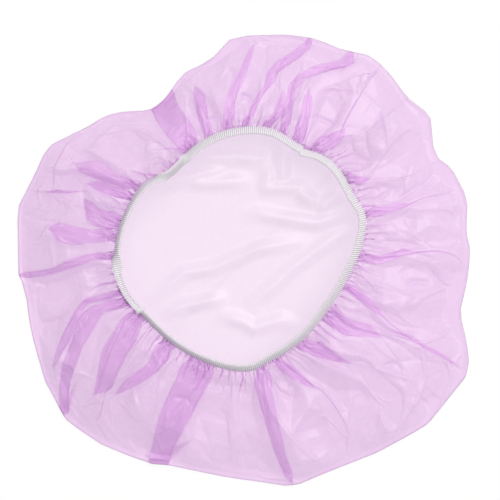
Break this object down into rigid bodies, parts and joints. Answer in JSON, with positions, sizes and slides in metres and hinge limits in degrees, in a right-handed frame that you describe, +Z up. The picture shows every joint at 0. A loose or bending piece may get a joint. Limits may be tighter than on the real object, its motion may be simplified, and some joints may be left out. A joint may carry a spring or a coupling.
{
  "type": "shower cap",
  "caption": "Soft see-through film shower cap lying on its crown, its gathered skirt folded back over it to an elastic, overlocked head opening.",
  "frame": {"origin": "on the table, under the middle of the lying cap's bounding box", "axes": "+Z up, out of the opening; +X to the right and +Y towards the top, as seen in the picture from straight above"},
  "size_m": [0.2806, 0.28, 0.0258],
  "materials": {
    "film": "thin frosted see-through film, soft sheen",
    "elastic": "flat ribbed knitted elastic",
    "thread": "textured overlock thread"
  },
  "bodies": {
    "crown": {"crown_film": "film"},
    "rim": {"skirt_film": "film", "elastic_band": "elastic", "needle_thread": "thread", "upper_looper_thread": "thread", "lower_looper_thread": "thread"}
  },
  "joints": [
    {"name": "rim_lift", "type": "slide", "parent": "crown", "child": "rim", "axis": [0, 0, 1], "range_m": [0, 0.05]}
  ]
}
